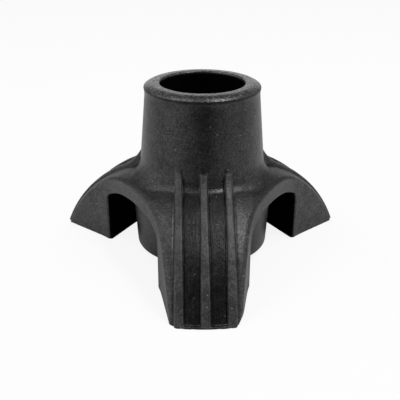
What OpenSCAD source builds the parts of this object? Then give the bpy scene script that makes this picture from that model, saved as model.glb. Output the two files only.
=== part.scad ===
// Rubber cane tip with three feet, moulded in one piece.
// The origin is the centre of the socket's floor, and +Z points out of the socket.
// One foot points along -Y. Heights in the sections below are measured from the ground.

/* [Socket] */
// Diameter of the cane that the socket grips
socket_d = 19; // [16:0.5:20]
// Depth of the socket, from its mouth to its floor
socket_depth = 31; // [22:0.5:34]
// Rounding of the inner edge at the socket's mouth
mouth_round = 0.4; // [0.2:0.1:0.8]

/* [Collar] */
// Height of the whole tip, from the ground to the mouth
tip_h = 40.3; // [38:0.1:46]
// Diameter of the collar's wall, taken at the height of the lip
collar_d = 25.6; // [25:0.1:27]
// Slope of the collar's wall, in degrees
collar_draft = 5; // [2:0.5:6]
// Distance from the mouth down to the sharp edge of the lip
lip_drop = 1.1; // [0.6:0.1:1.5]
// How far the lip stands out from the collar
lip_out = 0.35; // [0.1:0.05:0.6]
// Slope of the lip's underside, in degrees
lip_undercut = 12; // [8:1:30]
// Width of the rim's flat top, before it curves down to the lip
rim_flat = 1; // [0.4:0.1:1.2]

/* [Bell] */
// Radius of the bell at the ground, without its ribs
foot_r = 36.2; // [34:0.2:40]
// Radius of the bell's curve, seen in section
bell_r = 38.1; // [37:0.1:44]
// Slope of the bell's surface at the ground, in degrees
toe_slope = 66; // [62:1:70]
// Thickness of the shell over the cavity
shell_t = 3.2; // [2:0.1:4]
// Radius of the blend between the collar and the bell
root_r = 2.5; // [1:0.1:4]

/* [Feet] */
// Number of feet
foot_count = 3; // [3:1:4]
// Width of a foot at its toe
toe_w = 14.4; // [12:0.2:18]
// Angle by which each side of a foot spreads towards the hub, in degrees
foot_flare = 10; // [4:1:14]
// Distance from the axis to a foot's inner face
foot_in = 20; // [19:0.5:24]
// Distance from the axis to the edge of the web, halfway between two feet
web_r = 18.3; // [18:0.1:20]
// Radius of the curve that leads from the web into the side of a foot
web_blend = 30; // [10:1:40]

/* [Hub] */
// Diameter of the hub at its lower face
hub_d = 30.9; // [29:0.1:32]
// Slope of the hub's wall, in degrees
hub_draft = 3.5; // [1:0.5:5]
// Height of the hub's lower face above the ground
hub_lift = 1.9; // [1:0.1:4]

/* [Ribs] */
// Number of ribs on each foot
rib_count = 3; // [1:1:3]
// Distance between the middles of two ribs
rib_pitch = 5.4; // [4:0.1:5.6]
// Width of a rib beside the collar
rib_w_root = 1.5; // [1:0.1:2.5]
// Width of a rib at the toe
rib_w_toe = 2; // [1:0.1:3]
// Height of a rib above the bell
rib_h = 0.6; // [0.3:0.05:1.2]
// Height of the rim that closes the grooves between the ribs at the toe
toe_rim_h = 0.5; // [0.2:0.1:2]
// Radius of the hollow curve in which a rib climbs the collar
rib_root_r = 5; // [3.5:0.1:7]

/* [Hidden] */
$fn = 128;
rubber = [0.16, 0.16, 0.17];

// How far a cutter runs past the face that it cuts
over = 1;
// How far the circle of a blend cuts into the surfaces that it joins
blend_bite = 0.002;
// Reach of the cutters beyond the toes
far = 4 * foot_r;
// Share of the web's straight edge that its two end curves may take up
blend_share = 0.95;

floor_h = tip_h - socket_depth;
lip_z = tip_h - lip_drop;
lip_r = collar_d / 2 + lip_out;
crest_r = socket_d / 2 + mouth_round;
flat_r = crest_r + rim_flat;
rim_w = lip_r - flat_r;
rim_arc_r = (rim_w * rim_w + lip_drop * lip_drop) / (2 * lip_drop);
rib_start = (socket_d + collar_d) / 4;

first_foot = 270;
foot_step = 360 / foot_count;
half_step = foot_step / 2;

// Centre of the bell's curve in section, as [radius, height]
bell_c = [foot_r - bell_r * sin(toe_slope), -bell_r * cos(toe_slope)];

// Corner of a toe, seen along the foot and then from the middle of the gap beside it
toe_u = sqrt(foot_r * foot_r - toe_w * toe_w / 4);
toe_g = toe_u * cos(half_step) + toe_w / 2 * sin(half_step);
toe_t = toe_u * sin(half_step) - toe_w / 2 * cos(half_step);
// Angle between the web's edge and the side of a foot, and where they would meet
gap_turn = 90 - half_step - foot_flare;
gap_corner = toe_t - (toe_g - web_r) / tan(gap_turn);
gap_blend = min(web_blend, blend_share * gap_corner / tan(gap_turn / 2));
gap_tangent = gap_blend * tan(gap_turn / 2);

// Radius of the collar's wall at height z
function collar_at(z) = collar_d / 2 + (lip_z - z) * tan(collar_draft);

// Radius of the hub's wall at height z
function hub_at(z) = hub_d / 2 + (z - hub_lift) * tan(hub_draft);

// Point of a gap's outline at distance s from its corner, on the line along the foot
function gap_side(s) = [web_r + s * sin(gap_turn), gap_corner + s * cos(gap_turn)];

// Centre of a circle of radius r that touches the collar's wall and a bell of radius bell
function root_centre(r, bell) =
    let (
        k = tan(collar_draft),
        reach = bell + r,
        a = collar_at(bell_c[1]) + r / cos(collar_draft) - bell_c[0],
        rise = (a * k + sqrt(a * a * k * k - (1 + k * k) * (a * a - reach * reach))) / (1 + k * k)
    )
    [bell_c[0] + a - k * rise, bell_c[1] + rise];

// Section of the bell, as a quarter of a disc that stands on the ground
module bell_section(bell) {
    intersection() {
        translate(bell_c) circle(bell);
        square([far, tip_h]);
    }
}

// Section of the hollow blend of radius r between the collar and the bell
module root_section(r, bell) {
    centre = root_centre(r, bell);
    in_collar = centre - (r + over) * [cos(collar_draft), sin(collar_draft)];
    in_bell = bell_c + (bell - over) / (bell + r) * (centre - bell_c);
    difference() {
        polygon([in_collar, centre, in_bell, [in_collar[0], in_bell[1]]]);
        translate(centre) circle(r + blend_bite);
    }
}

// Section of the collar, with its undercut lip and its rounded rim
module collar_section() {
    undercut_h = lip_out / tan(lip_undercut);
    polygon([[0, 0], [collar_at(0), 0], [collar_d / 2, lip_z], [0, lip_z]]);
    intersection() {
        polygon([
            [0, lip_z - undercut_h],
            [collar_d / 2, lip_z - undercut_h],
            [lip_r + (lip_drop + over) * tan(lip_undercut), tip_h + over],
            [0, tip_h + over]
        ]);
        union() {
            square([flat_r, tip_h]);
            translate([flat_r, tip_h - rim_arc_r]) circle(rim_arc_r);
        }
    }
}

// Collar and bell in one turned shape, still solid
module blank() {
    rotate_extrude() {
        collar_section();
        bell_section(bell_r);
        root_section(root_r, bell_r);
    }
}

// Ribs of one foot, which climb the collar like gussets and end in the rim of the toe
module foot_ribs() {
    ribs_w = (rib_count - 1) * rib_pitch;
    intersection() {
        rotate_extrude() {
            bell_section(bell_r + rib_h);
            root_section(rib_root_r, bell_r + rib_h);
        }
        union() {
            for (i = [0 : rib_count - 1])
                translate([0, i * rib_pitch - ribs_w / 2, 0])
                    linear_extrude(tip_h)
                        polygon([
                            [rib_start, -rib_w_root / 2],
                            [foot_r + over, -rib_w_toe / 2],
                            [foot_r + over, rib_w_toe / 2],
                            [rib_start, rib_w_root / 2]
                        ]);
            translate([foot_in, -ribs_w / 2, 0])
                cube([foot_r + over - foot_in, ribs_w, toe_rim_h]);
        }
    }
}

// Space between two feet, cut straight down through the bell
module foot_gap() {
    translate([0, 0, -over])
        linear_extrude(tip_h + over) {
            polygon([
                [web_r, gap_tangent - gap_corner],
                [web_r, gap_corner - gap_tangent],
                gap_side(gap_tangent),
                gap_side(far),
                [gap_side(far)[0], -gap_side(far)[1]],
                [gap_side(gap_tangent)[0], -gap_side(gap_tangent)[1]]
            ]);
            for (side = [-1, 1])
                translate([web_r + gap_blend, side * (gap_corner - gap_tangent)])
                    circle(gap_blend + blend_bite);
        }
}

// Hollow under the shell, between the hub and the inner faces of the feet
module cavity() {
    difference() {
        intersection() {
            rotate_extrude()
                intersection() {
                    translate(bell_c) circle(bell_r - shell_t);
                    translate([0, -over]) square([far, tip_h]);
                }
            rotate([0, 0, first_foot - half_step])
                translate([0, 0, -over])
                    cylinder(h = tip_h, r = foot_in / cos(half_step), $fn = foot_count);
        }
        translate([0, 0, -over])
            cylinder(h = tip_h, r1 = hub_at(-over), r2 = hub_at(tip_h - over));
    }
}

// Space between the hub's lower face and the ground
module hub_relief() {
    translate([0, 0, -over])
        cylinder(h = hub_lift + over, r = (hub_d / 2 + foot_in) / 2);
}

// Socket for the cane, with the rounded edge of its mouth
module socket() {
    translate([0, 0, floor_h])
        cylinder(h = socket_depth + over, d = socket_d);
    rotate_extrude()
        difference() {
            translate([0, tip_h - mouth_round]) square([crest_r, mouth_round + over]);
            translate([crest_r, tip_h - mouth_round]) circle(mouth_round);
        }
}

module cane_tip() {
    color(rubber)
        translate([0, 0, -floor_h])
            difference() {
                union() {
                    blank();
                    for (i = [0 : foot_count - 1])
                        rotate([0, 0, first_foot + i * foot_step]) foot_ribs();
                }
                for (i = [0 : foot_count - 1])
                    rotate([0, 0, first_foot + (i + 0.5) * foot_step]) foot_gap();
                cavity();
                hub_relief();
                socket();
            }
}

cane_tip();
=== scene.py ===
"""Looks of a moulded rubber cane tip, with its floor, lights and camera."""

import math

import bpy
import numpy as np
from mathutils import Matrix, Vector


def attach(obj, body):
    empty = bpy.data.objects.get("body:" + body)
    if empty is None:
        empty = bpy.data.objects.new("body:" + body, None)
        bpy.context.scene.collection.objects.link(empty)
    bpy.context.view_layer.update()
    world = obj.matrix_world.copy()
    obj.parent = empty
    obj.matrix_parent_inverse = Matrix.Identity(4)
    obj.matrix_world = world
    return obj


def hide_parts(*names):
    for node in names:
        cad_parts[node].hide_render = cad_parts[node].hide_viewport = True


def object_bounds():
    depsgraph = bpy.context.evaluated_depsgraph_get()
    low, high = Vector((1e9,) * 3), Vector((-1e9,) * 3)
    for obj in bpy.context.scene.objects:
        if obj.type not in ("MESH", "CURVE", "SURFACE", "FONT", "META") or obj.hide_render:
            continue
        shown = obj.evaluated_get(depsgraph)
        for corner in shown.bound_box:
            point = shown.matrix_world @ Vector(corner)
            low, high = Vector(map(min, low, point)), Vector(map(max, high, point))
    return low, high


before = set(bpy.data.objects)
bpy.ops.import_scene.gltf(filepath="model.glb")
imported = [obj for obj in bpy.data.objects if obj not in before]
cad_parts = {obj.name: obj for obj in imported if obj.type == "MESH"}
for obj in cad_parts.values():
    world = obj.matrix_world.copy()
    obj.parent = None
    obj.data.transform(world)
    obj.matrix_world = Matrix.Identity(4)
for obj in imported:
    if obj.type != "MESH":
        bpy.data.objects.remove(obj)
cad_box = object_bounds()

MM = 0.001

# Sizes of the tip in millimetres, with heights measured from the ground
SOCKET_R = 9.5
SOCKET_DEPTH = 31.0
MOUTH_ROUND = 0.4
TIP_H = 40.3
COLLAR_R = 12.8
COLLAR_DRAFT = math.radians(5)
RIM_FLAT_R = 10.9
LIP_Z = 39.4
LIP_R = 13.15
LIP_UNDERCUT = math.radians(12)
FOOT_R = 36.2
BELL_R = 38.1
TOE_SLOPE = math.radians(66)
SHELL_T = 3.2
ROOT_R = 1.5
ROOT_R_WEB = 3.0
ROOT_END = 15.8
TOE_W = 14.4
FOOT_FLARE = math.radians(10)
FOOT_IN = 20.0
WEB_R = 18.3
WEB_BLEND = 30.0
HUB_R = 15.45
HUB_DRAFT = math.radians(3.5)
HUB_LIFT = 1.9
RIB_PITCH = 5.4
RIB_W_ROOT = 1.5
RIB_W_TOE = 2.0
RIB_H = 0.6
TOE_RIM_H = 0.5
RIB_ROOT_R = 5.0

# Worked out from the sizes
FLOOR_H = TIP_H - SOCKET_DEPTH
RIM_DROP = TIP_H - LIP_Z
RIM_ARC_R = ((LIP_R - RIM_FLAT_R) ** 2 + RIM_DROP**2) / (2 * RIM_DROP)
BELL_C = (FOOT_R - BELL_R * math.sin(TOE_SLOPE), -BELL_R * math.cos(TOE_SLOPE))
FIRST_FOOT = math.radians(270)
HALF_STEP = math.radians(60)

# Softness of the moulded edges, in millimetres
EDGE_FINE = 0.2
EDGE_RIB = 0.42
CORNER_IN = 1.0
CORNER_FOOT = 0.9
SHOULDER_R = 2.0
SHOULDER_PAST = 0.9
CHANNEL_DEPTH = 0.16
CHANNEL_W = 0.35
RIB_SUNK = 0.35

# Angles from a foot's middle between which the collar's root softens towards the web
SOFT_FROM = math.radians(24)
SOFT_TO = math.radians(50)

# Worn corner at the toe of the front foot: a point of the flat, its direction and its reach
WORN_AT = (6.5, -35.55, 0.0)
WORN_ALONG = (0.922, -0.319, -0.2175)
WORN_FROM = 30.0

# Spacing of the mesh in millimetres, and its points between two coarse samples, with their reach
GRID_STEP = 0.24
COARSE = 8
COARSE_REACH = 1.4

# Most triangles that the mesh may have, and rounds in which its vertices settle onto the surface
MOST_TRIANGLES = 190000
SETTLE_ROUNDS = 4

# Where the marks of the skin start and end, in millimetres
CREASE_FROM_Z = 14
CREASE_FULL_Z = 16
# Where the painted sheen on the flanks fades in, across the foot and in height
FLANK_FROM = RIB_PITCH + 0.9
FLANK_FULL = RIB_PITCH + 1.3
FLANK_TOP_Z = 21
FLANK_FULL_Z = 4

# Distance in millimetres by which the flow marks of one foot are moved for the next
FEET_APART = 40


def fillet(a, b, r):
    """Union of two distance fields, with a hollow blend of radius r in the corner."""
    reach = np.hypot(np.maximum(r - a, 0), np.maximum(r - b, 0))
    return np.maximum(r, np.minimum(a, b)) - reach


def soften(a, b, r):
    """Common part of two distance fields, with its edge rounded to radius r."""
    reach = np.hypot(np.maximum(r + a, 0), np.maximum(r + b, 0))
    return np.minimum(-r, np.maximum(a, b)) + reach


def ramp(value, start, end):
    """Smooth step from 0 at start to 1 at end."""
    share = np.clip((value - start) / (end - start), 0, 1)
    return share * share * (3 - 2 * share)


def gap_distance(u, v):
    """Distance into the tip from the vertical walls between the feet. It is negative in the gap."""
    cos_h, sin_h = math.cos(HALF_STEP), math.sin(HALF_STEP)
    toe_u = math.sqrt(FOOT_R**2 - TOE_W**2 / 4)
    toe_g = toe_u * cos_h + TOE_W / 2 * sin_h
    toe_t = toe_u * sin_h - TOE_W / 2 * cos_h
    turn = math.pi / 2 - HALF_STEP - FOOT_FLARE
    corner = toe_t - (toe_g - WEB_R) / math.tan(turn)
    start = corner - WEB_BLEND * math.tan(turn / 2)
    g = u * cos_h + v * sin_h
    t = u * sin_h - v * cos_h
    side = (t - corner) * math.sin(turn) - (g - WEB_R) * math.cos(turn)
    from_g = g - WEB_R - WEB_BLEND
    from_t = t - start
    arc = np.hypot(from_g, from_t) - WEB_BLEND
    past_arc = from_g * math.sin(turn) + from_t * math.cos(turn) >= 0
    return np.where(t <= start, WEB_R - g, np.where(past_arc, side, arc))


def wall_distance(rho, z):
    """Distance from the cone of the collar's wall."""
    return (rho - COLLAR_R - (LIP_Z - z) * math.tan(COLLAR_DRAFT)) * math.cos(COLLAR_DRAFT)


def collar_distance(rho, z):
    """Distance from the tapered collar with its lip and rounded rim."""
    collar = np.maximum(wall_distance(rho, z), z - LIP_Z + 2 * EDGE_FINE)
    arc = np.hypot(rho - RIM_FLAT_R, z - TIP_H + RIM_ARC_R) - RIM_ARC_R
    dome = np.where(rho < RIM_FLAT_R, z - TIP_H, arc)
    under = (rho - LIP_R - (z - LIP_Z) * math.tan(LIP_UNDERCUT)) * math.cos(LIP_UNDERCUT)
    rim = soften(dome, under, EDGE_FINE)
    return fillet(rim, collar, EDGE_FINE)


def rib_side(u, v):
    """Distance across the foot from the sides of its ribs, negative in a rib."""
    share = np.clip((u - COLLAR_R) / (FOOT_R - COLLAR_R), 0, 1)
    half_w = (RIB_W_ROOT + (RIB_W_TOE - RIB_W_ROOT) * share) / 2
    return np.minimum(np.abs(v), np.abs(v - RIB_PITCH)) - half_w


def rib_distance(u, v, z, wall, bell):
    """Distance from the ribs of a foot, and from the rim that closes the grooves at the toe."""
    top = fillet(wall + RIB_SUNK, bell - RIB_H, RIB_ROOT_R)
    top = np.maximum(top, z - LIP_Z + 2 * RIB_SUNK)
    ribs = soften(top, rib_side(u, v), EDGE_RIB)
    rim = soften(top, np.maximum(v - RIB_PITCH, z - TOE_RIM_H), EDGE_FINE)
    return np.minimum(ribs, rim)


def tip_distance(x, y, z):
    """Distance from the tip's surface at points in millimetres, negative in the rubber."""
    rho = np.hypot(x, y)
    angle = np.arctan2(y, x) - FIRST_FOOT
    angle = np.abs((angle + HALF_STEP) % (2 * HALF_STEP) - HALF_STEP)
    u = rho * np.cos(angle)
    v = rho * np.sin(angle)
    gap = gap_distance(u, v)

    from_c = np.hypot(rho - BELL_C[0], z - BELL_C[1])
    bell = from_c - BELL_R
    near_rib = np.exp(-((rib_side(u, v) / CHANNEL_W) ** 2)) * ramp(rho, ROOT_END, ROOT_END + 1)
    channel = CHANNEL_DEPTH * near_rib * ramp(z, 0, TOE_RIM_H)
    soft = ramp(angle, SOFT_FROM, SOFT_TO)
    root_r = ROOT_R + (ROOT_R_WEB - ROOT_R) * soft
    body = fillet(bell + channel, collar_distance(rho, z), root_r)
    body = soften(body, -gap - SHOULDER_PAST, SHOULDER_R)
    tip = fillet(body, rib_distance(u, v, z, wall_distance(rho, z), bell), EDGE_FINE)
    tip = soften(tip, -gap, EDGE_FINE)
    tip = soften(tip, -z, EDGE_FINE)

    hub = (HUB_R + (z - HUB_LIFT) * math.tan(HUB_DRAFT) - rho) * math.cos(HUB_DRAFT)
    corner = CORNER_FOOT * np.clip(1 - gap / CORNER_FOOT, 0, 1) ** 2
    cavity = soften(bell + SHELL_T, u - FOOT_IN - corner, CORNER_IN)
    cavity = soften(cavity, hub, CORNER_IN)
    tip = soften(tip, -cavity, EDGE_FINE)
    relief = np.maximum(z - HUB_LIFT, rho - (HUB_R + FOOT_IN) / 2)
    tip = soften(tip, -relief, 2 * EDGE_FINE)
    socket = soften(rho - SOCKET_R, FLOOR_H - z, MOUTH_ROUND)
    tip = soften(tip, -socket, MOUTH_ROUND)
    worn = WORN_ALONG[0] * (x - WORN_AT[0]) + WORN_ALONG[1] * (y - WORN_AT[1])
    worn = worn + WORN_ALONG[2] * (z - WORN_AT[2])
    return soften(tip, np.minimum(worn, -WORN_FROM - y), EDGE_FINE)


def skin_marks(x, y, z):
    """Shares of rib, groove, side and so on at points of the skin, and the way along a foot. The rib
    share takes in the painted sheen on the flanks, and the share of the inside marks painted shade.
    """
    rho = np.hypot(x, y)
    turn = np.arctan2(y, x) - FIRST_FOOT
    foot = np.floor((turn + HALF_STEP) / (2 * HALF_STEP))
    angle = turn - foot * 2 * HALF_STEP
    u = rho * np.cos(angle)
    v = rho * np.sin(angle)
    side = rib_side(u, np.abs(v))
    gap = gap_distance(u, np.abs(v))
    bell = np.hypot(rho - BELL_C[0], z - BELL_C[1]) - BELL_R
    out = np.minimum(bell, wall_distance(rho, z))
    rib = ramp(out, 0.1, 0.35) * ramp(-side, -0.15, 0.15) * ramp(LIP_Z - 2 - z, 0, 1)
    low = ramp(-np.abs(bell), -0.4, -0.25) * ramp(z, TOE_RIM_H, TOE_RIM_H + 0.3)
    groove = low * ramp(side, 0, 0.25) * (np.abs(v) < RIB_PITCH) * ramp(rho, ROOT_END - 0.4, ROOT_END)
    # Painted shade: the inside of the cavity and of the socket is marked to be darkened
    inner = (bell < -SHELL_T + 0.3) & (z > 0.3) & (rho > HUB_R + 1) & (gap > 0.25)
    inner = inner | (rho < SOCKET_R + 0.2) & (z < TIP_H - 1)
    crease = ramp(-np.maximum(bell, wall_distance(rho, z)), -0.75, -0.35)
    crease = crease * (1 - inner) * ramp(z, CREASE_FROM_Z, CREASE_FULL_Z)
    # Painted sheen: the flanks beside the outer ribs take the light rib colour, more towards the toe
    flank_sheen = ramp(np.abs(v), FLANK_FROM, FLANK_FULL) * ramp(-np.abs(bell), -0.5, -0.3)
    rib = np.maximum(rib, flank_sheen * ramp(-z, -FLANK_TOP_Z, -FLANK_FULL_Z))
    wall = ramp(-gap, -0.25, -0.05) * ramp(rho, WEB_R - 1, WEB_R)
    way = BELL_R * np.arctan2(z - BELL_C[1], rho - BELL_C[0])
    along = np.stack([v, way, FEET_APART * foot], axis=1)
    shares = {"rib": rib, "groove": groove, "side": wall, "inner": inner, "crease": crease}
    return shares, along


def slope_of(points):
    """Distance of points from the surface, measured along its normal, and the unit normals."""
    small = 0.02
    steps = small * np.eye(3)
    slope = np.stack(
        [tip_distance(*(points + s).T) - tip_distance(*(points - s).T) for s in steps], axis=1
    )
    steep = np.maximum(np.linalg.norm(slope, axis=1, keepdims=True), 1e-9)
    return tip_distance(*points.T)[:, None] * 2 * small / steep, slope / steep


def sample_field(axes):
    """The distance field on a grid. Away from the surface only its sign is right."""
    x, y, z = axes
    coarse = tip_distance(*np.meshgrid(*(a[::COARSE] for a in axes), indexing="ij", sparse=True))
    field = coarse
    for n, a in enumerate(axes):
        nearest = np.minimum((np.arange(len(a)) + COARSE // 2) // COARSE, field.shape[n] - 1)
        field = np.take(field, nearest, axis=n)
    near = np.abs(field) < COARSE * GRID_STEP * COARSE_REACH
    i, j, k = np.nonzero(near)
    values = [
        tip_distance(x[i[part]], y[j[part]], z[k[part]])
        for part in np.array_split(np.arange(len(i)), 16)
    ]
    field[near] = np.concatenate(values)
    return field


def surface_net(field, low, step):
    """Vertices and quads of the zero surface of a field that is sampled on a grid."""
    inside = field < 0
    size = np.array(field.shape) - 1
    corners = [(i, j, k) for i in (0, 1) for j in (0, 1) for k in (0, 1)]

    def at(values, corner):
        return values[tuple(slice(c, c + s) for c, s in zip(corner, size))]

    count = sum(at(inside, c).astype(np.int8) for c in corners)
    mixed = (count > 0) & (count < 8)
    cells = np.argwhere(mixed)
    number = np.full(mixed.shape, -1)
    number[mixed] = np.arange(len(cells))

    total = np.zeros((len(cells), 3))
    crossings = np.zeros(len(cells))
    for a in corners:
        for axis in range(3):
            if a[axis]:
                continue
            b = tuple(c + (n == axis) for n, c in enumerate(a))
            fa, fb = at(field, a)[mixed], at(field, b)[mixed]
            cut = (fa < 0) != (fb < 0)
            share = fa[cut] / (fa[cut] - fb[cut])
            total[cut] += a
            total[cut, axis] += share
            crossings[cut] += 1
    verts = low + step * (cells + total / crossings[:, None])

    quads = []
    for axis in range(3):
        one, two = (axis + 1) % 3, (axis + 2) % 3
        near = [slice(1, s) for s in size]
        near[axis] = slice(0, size[axis])
        beyond = list(near)
        beyond[axis] = slice(1, size[axis] + 1)
        a, b = inside[tuple(near)], inside[tuple(beyond)]
        edges = np.argwhere(a != b)
        out = a[a != b]
        start = edges + 1
        start[:, axis] -= 1
        ring = []
        for back_one, back_two in ((1, 1), (0, 1), (0, 0), (1, 0)):
            cell = start.copy()
            cell[:, one] -= back_one
            cell[:, two] -= back_two
            ring.append(number[tuple(cell.T)])
        ring = np.stack(ring, axis=1)
        ring[~out] = ring[~out][:, ::-1]
        quads.append(ring)
    return verts, np.concatenate(quads)


def tip_mesh():
    """Fine mesh of the tip, whose vertices lie near the surface of the distance field."""
    margin = 2 * GRID_STEP
    lowest = np.array(cad_box[0]) / MM + (0, 0, FLOOR_H) - margin
    highest = np.array(cad_box[1]) / MM + (0, 0, FLOOR_H) + margin
    axes = [np.arange(a, b + GRID_STEP, GRID_STEP) for a, b in zip(lowest, highest)]
    verts, quads = surface_net(sample_field(axes), lowest, GRID_STEP)
    mesh = bpy.data.meshes.new("cane_tip_rubber")
    mesh.from_pydata(verts, [], quads.tolist())
    mesh.update()
    return mesh


def settle(mesh):
    """Moves the vertices onto the surface, shades and marks them, and goes over to metres."""
    points = np.empty(len(mesh.vertices) * 3)
    mesh.vertices.foreach_get("co", points)
    points = points.reshape(-1, 3)
    for _ in range(SETTLE_ROUNDS):
        off, normals = slope_of(points)
        points = points - np.clip(off, -GRID_STEP / 3, GRID_STEP / 3) * normals
    normals = slope_of(points)[1]
    shares, along = skin_marks(*points.T)
    for name, share in shares.items():
        mesh.attributes.new(name, "FLOAT", "POINT").data.foreach_set("value", share)
    mesh.attributes.new("along", "FLOAT_VECTOR", "POINT").data.foreach_set("vector", along.ravel())
    points[:, 2] -= FLOOR_H
    mesh.vertices.foreach_set("co", (points * MM).ravel())
    mesh.polygons.foreach_set("use_smooth", np.ones(len(mesh.polygons), bool))
    mesh.update()
    mesh.normals_split_custom_set_from_vertices(normals.tolist())


def make_tip():
    """The rubber moulding as one dense mesh."""
    tip = bpy.data.objects.new("cane_tip_rubber", tip_mesh())
    bpy.context.collection.objects.link(tip)
    bpy.context.view_layer.objects.active = tip
    triangles = 2 * len(tip.data.polygons)
    if triangles > MOST_TRIANGLES:
        thin = tip.modifiers.new("thin", "DECIMATE")
        thin.ratio = MOST_TRIANGLES / triangles
        with bpy.context.temp_override(object=tip, active_object=tip):
            bpy.ops.object.modifier_apply(modifier="thin")
    settle(tip.data)
    return tip


class Shading:
    """Short ways to add nodes to a material and to link them."""

    def __init__(self, material):
        material.use_nodes = True
        self.nodes = material.node_tree.nodes
        self.links = material.node_tree.links

    def put(self, socket, value):
        """Links an output to a socket, or writes a plain value there."""
        if isinstance(value, bpy.types.NodeSocket):
            self.links.new(value, socket)
        else:
            socket.default_value = value

    def mark(self, name, output="Fac"):
        """A share or a vector that the mesh carries."""
        node = self.nodes.new("ShaderNodeAttribute")
        node.attribute_name = name
        return node.outputs[output]

    def math(self, kind, a, b=0.0, c=0.0):
        node = self.nodes.new("ShaderNodeMath")
        node.operation = kind
        for socket, value in zip(node.inputs, (a, b, c)):
            self.put(socket, value)
        return node.outputs[0]

    def stretch(self, vector, scale):
        """A vector with its parts scaled."""
        node = self.nodes.new("ShaderNodeVectorMath")
        node.operation = "MULTIPLY"
        self.put(node.inputs[0], vector)
        node.inputs[1].default_value = scale
        return node.outputs[0]

    def noise(self, vector, scale, detail=3.0, rough=0.5):
        node = self.nodes.new("ShaderNodeTexNoise")
        self.put(node.inputs["Vector"], vector)
        node.inputs["Scale"].default_value = scale
        node.inputs["Detail"].default_value = detail
        node.inputs["Roughness"].default_value = rough
        return node.outputs["Fac"]

    def dots(self, vector, scale, size, share):
        """Small round spots, one in each of a share of the cells."""
        node = self.nodes.new("ShaderNodeTexVoronoi")
        self.put(node.inputs["Vector"], vector)
        node.inputs["Scale"].default_value = scale
        split = self.nodes.new("ShaderNodeSeparateColor")
        self.links.new(node.outputs["Color"], split.inputs[0])
        near = self.fade(node.outputs["Distance"], size, size * 0.5)
        return self.math("MULTIPLY", near, self.fade(split.outputs[0], share, share - 0.01))

    def fade(self, value, start, end, low=0.0, high=1.0):
        """Turns a value that runs from start to end into one that runs from low to high."""
        node = self.nodes.new("ShaderNodeMapRange")
        self.put(node.inputs["Value"], value)
        names = ("From Min", "From Max", "To Min", "To Max")
        for name, number in zip(names, (start, end, low, high)):
            self.put(node.inputs[name], number)
        return node.outputs["Result"]

    def blend(self, share, one, two):
        """Mixes two colours or outputs by a share."""
        node = self.nodes.new("ShaderNodeMix")
        node.data_type = "RGBA"
        self.put(node.inputs["Factor"], share)
        self.put(node.inputs["A"], one)
        self.put(node.inputs["B"], two)
        return node.outputs["Result"]

    def bump(self, height, distance, before=None):
        """Relief of a height in metres, laid over an earlier relief."""
        node = self.nodes.new("ShaderNodeBump")
        node.inputs["Distance"].default_value = distance
        self.put(node.inputs["Height"], height)
        if before:
            self.links.new(before, node.inputs["Normal"])
        return node.outputs["Normal"]


# Colours of the rubber: skin; grooves, whose dark colour also paints the shade inside the cavity, in
# the socket and under the lip; rubbed tops of the ribs, whose light colour also paints the sheen on
# the flanks and the highlight on the lip band; sides of the feet; and dust
SKIN = (0.0035, 0.0036, 0.0040, 1)
GROOVE_AND_SHADE = (0.0018, 0.0020, 0.0028, 1)
RIB_AND_SHEEN = (0.026, 0.026, 0.027, 1)
SIDE = (0.018, 0.0183, 0.0187, 1)
DUST = (0.2, 0.195, 0.185, 1)

# Painted shade under the lip, as a dark line, in millimetres: depth below the edge, half width, and
# end of its fade
LIP_SHADE_DOWN = 0.3
LIP_SHADE_FULL = 0.2
LIP_SHADE_END = 0.45

# Values of a noise between which it fades softly, and more sharply
NOISE_SOFT = (0.3, 0.7)
NOISE_SHARP = (0.35, 0.65)

# Cells per metre of the patterns in the skin
MOTTLE_SCALE = 420
GRAIN_SCALE = 2600
NICK_SCALE = 1100
PORE_SCALE = 900
DUST_SCALE = 800

# Heights of the skin's relief in metres
MOTTLE_H = 0.00010
GRAIN_H = 0.00006
NICK_H = 0.00006
STREAK_H = 0.00015
SCUFF_H = 0.00006
SPECK_H = 0.00003

# Roughness of the plain skin, from its smooth to its dull spots, and what each place adds to it
ROUGH_LOW = 0.31
ROUGH_HIGH = 0.37
ROUGH_RIB = 0.12
ROUGH_SIDE = 0.08
ROUGH_STREAK = 0.06
ROUGH_CREASE = -0.18
ROUGH_LIP = -0.07
ROUGH_INNER = 0.3
ROUGH_DUST = 0.3

# Strength of the reflection: of the plain skin, and what each place adds to it
LEVEL = 0.5
LEVEL_GROOVE = -0.25
# The inside loses its reflection, as part of its painted shade
LEVEL_INNER = -0.5
LEVEL_SHINY = 0.4


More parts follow.
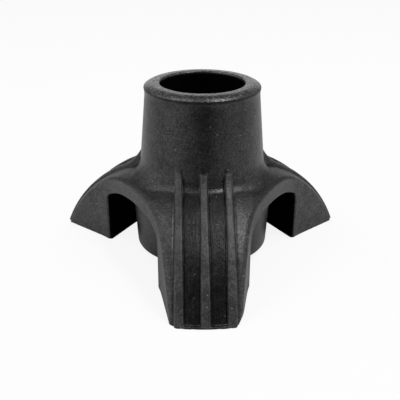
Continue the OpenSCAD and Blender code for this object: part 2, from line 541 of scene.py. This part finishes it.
def rubber():
    """Black rubber: fine pored skin, rubbed ribs, grooves with flow marks, and a little dust, with
    painted shade inside the cavity, in the socket and under the lip, and painted sheen on the flanks
    and the lip band.
    """
    material = bpy.data.materials.new("black_rubber")
    n = Shading(material)
    shader = n.nodes["Principled BSDF"]
    shader.inputs["IOR"].default_value = 1.5
    place = n.nodes.new("ShaderNodeTexCoord").outputs["Object"]
    along = n.mark("along", "Vector")
    rib, side, crease = n.mark("rib"), n.mark("side"), n.mark("crease")

    spot = n.nodes.new("ShaderNodeSeparateXYZ")
    n.links.new(place, spot.inputs[0])
    x, y, z = spot.outputs
    radius = n.math("SQRT", n.math("ADD", n.math("MULTIPLY", x, x), n.math("MULTIPLY", y, y)))
    mouth_z = (TIP_H - FLOOR_H) * MM
    lip_z = (LIP_Z - FLOOR_H) * MM
    # Painted shade inside the socket, joined to the painted shade inside the cavity: it takes the
    # dark groove colour and loses its reflection
    socket = n.fade(radius, (SOCKET_R + 0.3) * MM, (SOCKET_R + 0.1) * MM)
    socket = n.math("MULTIPLY", socket, n.fade(z, mouth_z - 0.4 * MM, mouth_z - 0.8 * MM))
    inner = n.math("MAXIMUM", n.mark("inner"), socket)
    open_skin = n.math("SUBTRACT", 1.0, inner)
    # Painted highlight: the lip band takes most of the light rib colour
    lip = n.math("MULTIPLY", n.fade(z, lip_z - 0.05 * MM, lip_z + 0.15 * MM), open_skin)
    # Painted shade: a dark line under the lip, in the dark groove colour with weaker reflection,
    # carried on in the groove share
    under = n.math("ABSOLUTE", n.math("SUBTRACT", z, lip_z - LIP_SHADE_DOWN * MM))
    under = n.math("MULTIPLY", n.fade(under, LIP_SHADE_END * MM, LIP_SHADE_FULL * MM), open_skin)
    groove = n.math("MAXIMUM", n.mark("groove"), under)

    mottle = n.noise(place, MOTTLE_SCALE, 4, 0.6)
    grain = n.noise(place, GRAIN_SCALE, 3, 0.6)
    streaks = n.noise(n.stretch(along, (2.6, 0.16, 1.0)), 1.0, 4, 0.6)
    scuffs = n.noise(n.stretch(along, (1.1, 0.5, 1.0)), 1.0, 5, 0.7)
    nicks = n.fade(n.noise(place, NICK_SCALE, 2, 0.5), 0.52, 0.6)
    pores = n.dots(place, PORE_SCALE, 0.16, 0.22)
    dust = n.math("MULTIPLY", n.dots(place, DUST_SCALE, 0.13, 0.3), open_skin)

    colour = n.blend(side, SKIN, SIDE)
    # Grooves, and the painted shade inside and under the lip, take the dark colour
    colour = n.blend(n.math("MAXIMUM", groove, inner), colour, GROOVE_AND_SHADE)
    # Rubbed rib tops, the painted sheen on the flanks and the painted highlight on the lip band take
    # the light colour
    colour = n.blend(n.math("MULTIPLY_ADD", lip, 0.7, rib), colour, RIB_AND_SHEEN)
    tone = n.fade(mottle, *NOISE_SOFT, 0.6, 1.4)
    tone = n.math("MULTIPLY", tone, n.fade(grain, *NOISE_SOFT, 0.5, 1.5))
    shade = n.nodes.new("ShaderNodeVectorMath")
    shade.operation = "SCALE"
    n.put(shade.inputs[0], colour)
    n.put(shade.inputs["Scale"], tone)
    n.put(shader.inputs["Base Color"], n.blend(dust, shade.outputs[0], DUST))

    rough = n.fade(mottle, *NOISE_SOFT, ROUGH_LOW, ROUGH_HIGH)
    flow = n.fade(streaks, *NOISE_SHARP, -ROUGH_STREAK, ROUGH_STREAK)
    for share, more in (
        (rib, ROUGH_RIB),
        (side, ROUGH_SIDE),
        (groove, flow),
        (crease, ROUGH_CREASE),
        (lip, ROUGH_LIP),
        (inner, ROUGH_INNER),
        (dust, ROUGH_DUST),
    ):
        rough = n.math("ADD", rough, n.math("MULTIPLY", share, more))
    n.put(shader.inputs["Roughness"], rough)

    level = n.math("MULTIPLY_ADD", inner, LEVEL_INNER, LEVEL)
    level = n.math("MULTIPLY_ADD", groove, LEVEL_GROOVE, level)
    level = n.math("MULTIPLY_ADD", n.math("MAXIMUM", crease, lip), LEVEL_SHINY, level)
    gloss = n.fade(mottle, *NOISE_SHARP, 0.85, 1.15)
    gloss = n.math("MULTIPLY", gloss, n.fade(grain, *NOISE_SHARP, 0.6, 1.4))
    n.put(shader.inputs["Specular IOR Level"], n.math("MULTIPLY", level, gloss))

    relief = n.bump(n.math("MULTIPLY", mottle, open_skin), MOTTLE_H)
    relief = n.bump(n.math("MULTIPLY", grain, open_skin), GRAIN_H, relief)
    relief = n.bump(n.math("MULTIPLY", lip, nicks), NICK_H, relief)
    relief = n.bump(n.math("MULTIPLY", groove, streaks), STREAK_H, relief)
    relief = n.bump(n.math("MULTIPLY", rib, scuffs), SCUFF_H, relief)
    relief = n.bump(n.math("SUBTRACT", dust, pores), SPECK_H, relief)
    n.put(shader.inputs["Normal"], relief)
    return material


# Floor in metres: half its width, its front edge, and how far it lies below the feet
FLOOR_HALF = 1.5
FLOOR_FRONT = -0.075
FLOOR_BELOW = 0.00002

# Share of the floor's own shading that the camera sees
FLOOR_SHADED = 0.12


def floor_material():
    """White floor. The camera sees it nearly lit through, with the tip's shadow."""
    material = bpy.data.materials.new("white_floor")
    material.use_nodes = True
    nodes, links = material.node_tree.nodes, material.node_tree.links
    nodes.clear()
    out = nodes.new("ShaderNodeOutputMaterial")
    light = nodes.new("ShaderNodeLightPath")
    seen = nodes.new("ShaderNodeMixShader")
    cloth = nodes.new("ShaderNodeBsdfDiffuse")
    cloth.inputs["Color"].default_value = (0.9, 0.9, 0.9, 1)
    glow = nodes.new("ShaderNodeEmission")
    glow.inputs["Color"].default_value = (1, 1, 1, 1)
    glow.inputs["Strength"].default_value = 1.0
    shaded = nodes.new("ShaderNodeMixShader")
    shaded.inputs["Fac"].default_value = FLOOR_SHADED
    links.new(glow.outputs[0], shaded.inputs[1])
    links.new(cloth.outputs[0], shaded.inputs[2])
    links.new(light.outputs["Is Camera Ray"], seen.inputs["Fac"])
    links.new(cloth.outputs[0], seen.inputs[1])
    links.new(shaded.outputs[0], seen.inputs[2])
    links.new(seen.outputs[0], out.inputs["Surface"])
    return material


def make_floor():
    """Plain floor at the height of the tip's feet. It ends just in front of the picture."""
    z = cad_box[0][2] - FLOOR_BELOW
    front = [(-FLOOR_HALF, FLOOR_FRONT, z), (FLOOR_HALF, FLOOR_FRONT, z)]
    back = [(FLOOR_HALF, FLOOR_HALF, z), (-FLOOR_HALF, FLOOR_HALF, z)]
    mesh = bpy.data.meshes.new("floor")
    mesh.from_pydata(front + back, [], [(0, 1, 2, 3)])
    floor = bpy.data.objects.new("floor", mesh)
    bpy.context.collection.objects.link(floor)
    mesh.materials.append(floor_material())


# Brightness of the tent's sides, where 1 is white
TENT_LEFT = 1.5
TENT_RIGHT = 0.95
TENT_BACK = 1.4
TENT_BACK_LOW = 0.1
TENT_TOP = 0.35


def make_world():
    """White to the camera. To the tip it is a pale tent: bright on all sides but the front."""
    world = bpy.data.worlds.new("studio")
    bpy.context.scene.world = world
    n = Shading(world)
    n.nodes.clear()
    out = n.nodes.new("ShaderNodeOutputWorld")
    white = n.nodes.new("ShaderNodeBackground")
    white.inputs["Color"].default_value = (1, 1, 1, 1)
    tent = n.nodes.new("ShaderNodeBackground")
    way = n.nodes.new("ShaderNodeSeparateXYZ")
    n.links.new(n.nodes.new("ShaderNodeTexCoord").outputs["Generated"], way.inputs[0])
    x, y, z = way.outputs
    left = n.fade(x, -0.2, -0.85, 0.0, TENT_LEFT)
    right = n.fade(x, 0.1, 0.85, 0.0, TENT_RIGHT)
    sides = n.math("MULTIPLY", n.math("ADD", left, right), n.fade(y, 0.85, 0.2))
    behind = n.fade(y, 0.84, 0.96, TENT_BACK_LOW, TENT_BACK)
    above = n.math("MULTIPLY", n.fade(z, 0.75, 0.95, 0.0, TENT_TOP), n.fade(y, 0.4, 0.0))
    light = n.math("ADD", sides, n.math("ADD", behind, above))
    n.put(tent.inputs["Strength"], light)
    mix = n.nodes.new("ShaderNodeMixShader")
    n.put(mix.inputs["Fac"], n.nodes.new("ShaderNodeLightPath").outputs["Is Camera Ray"])
    n.links.new(tent.outputs[0], mix.inputs[1])
    n.links.new(white.outputs[0], mix.inputs[2])
    n.links.new(mix.outputs[0], out.inputs["Surface"])


# Lights in metres: the point that they face, their distance from it, and their widths
LIGHT_AIM = Vector((0, 0, 0.01))
LIGHT_DISTANCE = 0.6
PANEL_W = 0.24
LAMP_W = 0.1


def panel(name, azimuth, height, width, glow):
    """A square light that faces the tip. Azimuth and height are in degrees, and glow 1 is white."""
    a, h = math.radians(azimuth), math.radians(height)
    away = Vector((math.cos(a) * math.cos(h), math.sin(a) * math.cos(h), math.sin(h)))
    light = bpy.data.lights.new(name, "AREA")
    light.shape = "RECTANGLE"
    light.size = width
    light.size_y = width
    light.energy = glow * math.pi * width**2
    lamp = bpy.data.objects.new(name, light)
    bpy.context.collection.objects.link(lamp)
    lamp.location = LIGHT_AIM + LIGHT_DISTANCE * away
    lamp.rotation_euler = (-away).to_track_quat("-Z", "Y").to_euler()


def make_lights():
    """A soft panel high on each side, and a smaller and brighter lamp beside the right one."""
    panel("left_panel", 192, 63, PANEL_W, 3.0)
    panel("right_panel", 352, 69, PANEL_W, 3.6)
    panel("right_lamp", 324, 64, LAMP_W, 28.0)


# The camera that took the photograph, in metres, fitted to the rim, the lip and the feet
CAMERA_DISTANCE = 0.147
CAMERA_HEIGHT = 0.07915
CAMERA_TILT = math.radians(24.77)
CAMERA_PAN = math.radians(-0.18)
CAMERA_ROLL = math.radians(0.16)
CAMERA_TURN = math.radians(-1.41)
FOCAL_PIXELS = 674.8
IMAGE_PIXELS = 400
SENSOR_MM = 36


def make_camera():
    """Camera at the photograph's viewing angle."""
    data = bpy.data.cameras.new("camera")
    data.sensor_width = SENSOR_MM
    data.lens = FOCAL_PIXELS / IMAGE_PIXELS * SENSOR_MM
    data.clip_start = 0.01
    camera = bpy.data.objects.new("camera", data)
    bpy.context.collection.objects.link(camera)
    stand = Matrix.Rotation(CAMERA_TURN, 4, "Z") @ Matrix.Translation(
        (0, -CAMERA_DISTANCE, CAMERA_HEIGHT - FLOOR_H * MM)
    )
    look = Matrix.Rotation(-CAMERA_PAN, 4, "Z") @ Matrix.Rotation(math.pi / 2 - CAMERA_TILT, 4, "X")
    camera.matrix_world = stand @ look @ Matrix.Rotation(CAMERA_ROLL, 4, "Z")
    bpy.context.scene.camera = camera


make_camera()
tip = make_tip()
tip.data.materials.append(rubber())
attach(tip, "root")
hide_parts("cane_tip")
make_floor()
make_world()
make_lights()
bpy.context.scene.view_settings.view_transform = "Standard"
